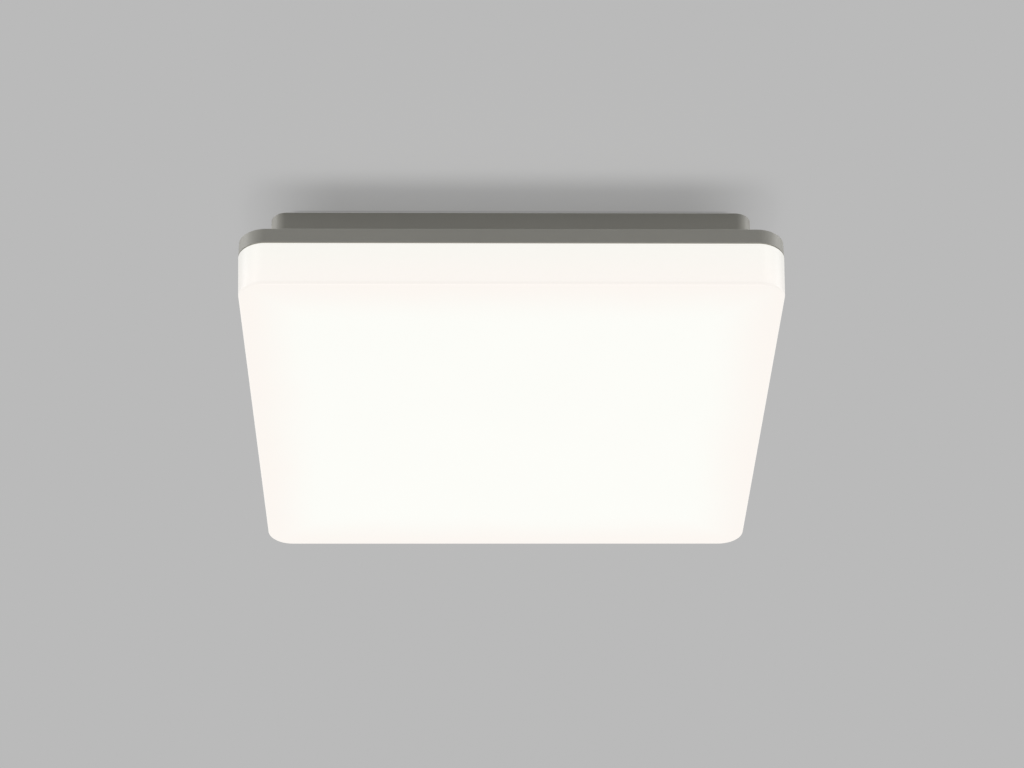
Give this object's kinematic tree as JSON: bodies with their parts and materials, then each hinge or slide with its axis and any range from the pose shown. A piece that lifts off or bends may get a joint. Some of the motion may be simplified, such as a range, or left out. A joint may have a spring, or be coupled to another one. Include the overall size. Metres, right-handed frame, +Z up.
{
  "type": "flush mount ceiling light",
  "caption": "Square flush mount ceiling light: grey moulded housing with gear tray, LED strips and driver, and a clip-on opal diffuser that pulls off downwards.",
  "frame": {"origin": "centre of the flat back of the housing, which lies against the ceiling", "axes": "+Z up into the ceiling; the lit face looks along -Z; X runs along the LED strips; -Y faces the viewer of the picture"},
  "size_m": [0.3, 0.3, 0.058],
  "materials": {
    "housing": "fine moulded grain, warm grey",
    "seal_rubber": "matt",
    "foam_gasket": "closed-cell foam",
    "opal_diffuser": "opal, satin",
    "spring_steel": "satin",
    "screw_steel": "zinc plated",
    "white_steel": "white powder coat",
    "connector_nylon": "natural nylon",
    "red_insulation": "smooth",
    "black_insulation": "smooth",
    "driver_plastic": "fine texture",
    "circuit_board": "solder mask",
    "component_black": "moulded",
    "terminal_plastic": "moulded",
    "contact_copper": "tinned copper alloy",
    "brown_insulation": "smooth",
    "blue_insulation": "smooth",
    "earth_insulation": "green with yellow stripe",
    "earth_brass": "satin",
    "button_live": "moulded",
    "button_neutral": "moulded",
    "button_earth": "moulded",
    "led_board": "white solder mask",
    "led_phosphor": "phosphor resin",
    "jumper_flex": "flat twin lead"
  },
  "bodies": {
    "fixed": {"housing": "housing", "screw_seals": "seal_rubber", "cable_grommet": "seal_rubber", "rim_gasket": "foam_gasket", "diffuser_clips": "spring_steel", "clip_screws": "screw_steel", "gear_tray": "white_steel", "tray_screws": "screw_steel", "board_connectors": "connector_nylon", "lead_bush": "seal_rubber", "led_lead_positive": "red_insulation", "led_lead_negative": "black_insulation", "driver_case": "driver_plastic", "driver_lid": "driver_plastic", "driver_board": "circuit_board", "driver_components": "component_black", "driver_screws": "screw_steel", "terminal_body": "terminal_plastic", "terminal_contacts": "contact_copper", "terminal_screw": "screw_steel", "live_lead": "brown_insulation", "neutral_lead": "blue_insulation", "earth_lead": "earth_insulation", "earth_tag": "contact_copper", "earth_screw": "earth_brass", "led_board_1": "led_board", "led_board_2": "led_board", "led_board_3": "led_board", "led_board_4": "led_board", "led_board_5": "led_board", "led_board_6": "led_board", "led_chips_1": "led_phosphor", "led_chips_2": "led_phosphor", "led_chips_3": "led_phosphor", "led_chips_4": "led_phosphor", "led_chips_5": "led_phosphor", "led_chips_6": "led_phosphor", "jumper_1_2": "jumper_flex", "jumper_2_3": "jumper_flex", "jumper_3_4": "jumper_flex", "jumper_4_5": "jumper_flex", "jumper_5_6": "jumper_flex"},
    "diffuser": {"diffuser": "opal_diffuser"},
    "button_live": {"release_button_live": "button_live"},
    "button_neutral": {"release_button_neutral": "button_neutral"},
    "button_earth": {"release_button_earth": "button_earth"}
  },
  "joints": [
    {"name": "diffuser_pull", "type": "slide", "parent": "fixed", "child": "diffuser", "axis": [0, 0, -1], "range_m": [0, 0.16], "deforming": ["diffuser_clips"]},
    {"name": "release_live", "type": "slide", "parent": "fixed", "child": "button_live", "axis": [0, 0, 1], "range_m": [0, 0.0012], "stiffness_N_per_m": 400, "springref_m": -0.0005},
    {"name": "release_neutral", "type": "slide", "parent": "fixed", "child": "button_neutral", "axis": [0, 0, 1], "range_m": [0, 0.0012], "stiffness_N_per_m": 400, "springref_m": -0.0005},
    {"name": "release_earth", "type": "slide", "parent": "fixed", "child": "button_earth", "axis": [0, 0, 1], "range_m": [0, 0.0012], "stiffness_N_per_m": 400, "springref_m": -0.0005}
  ]
}
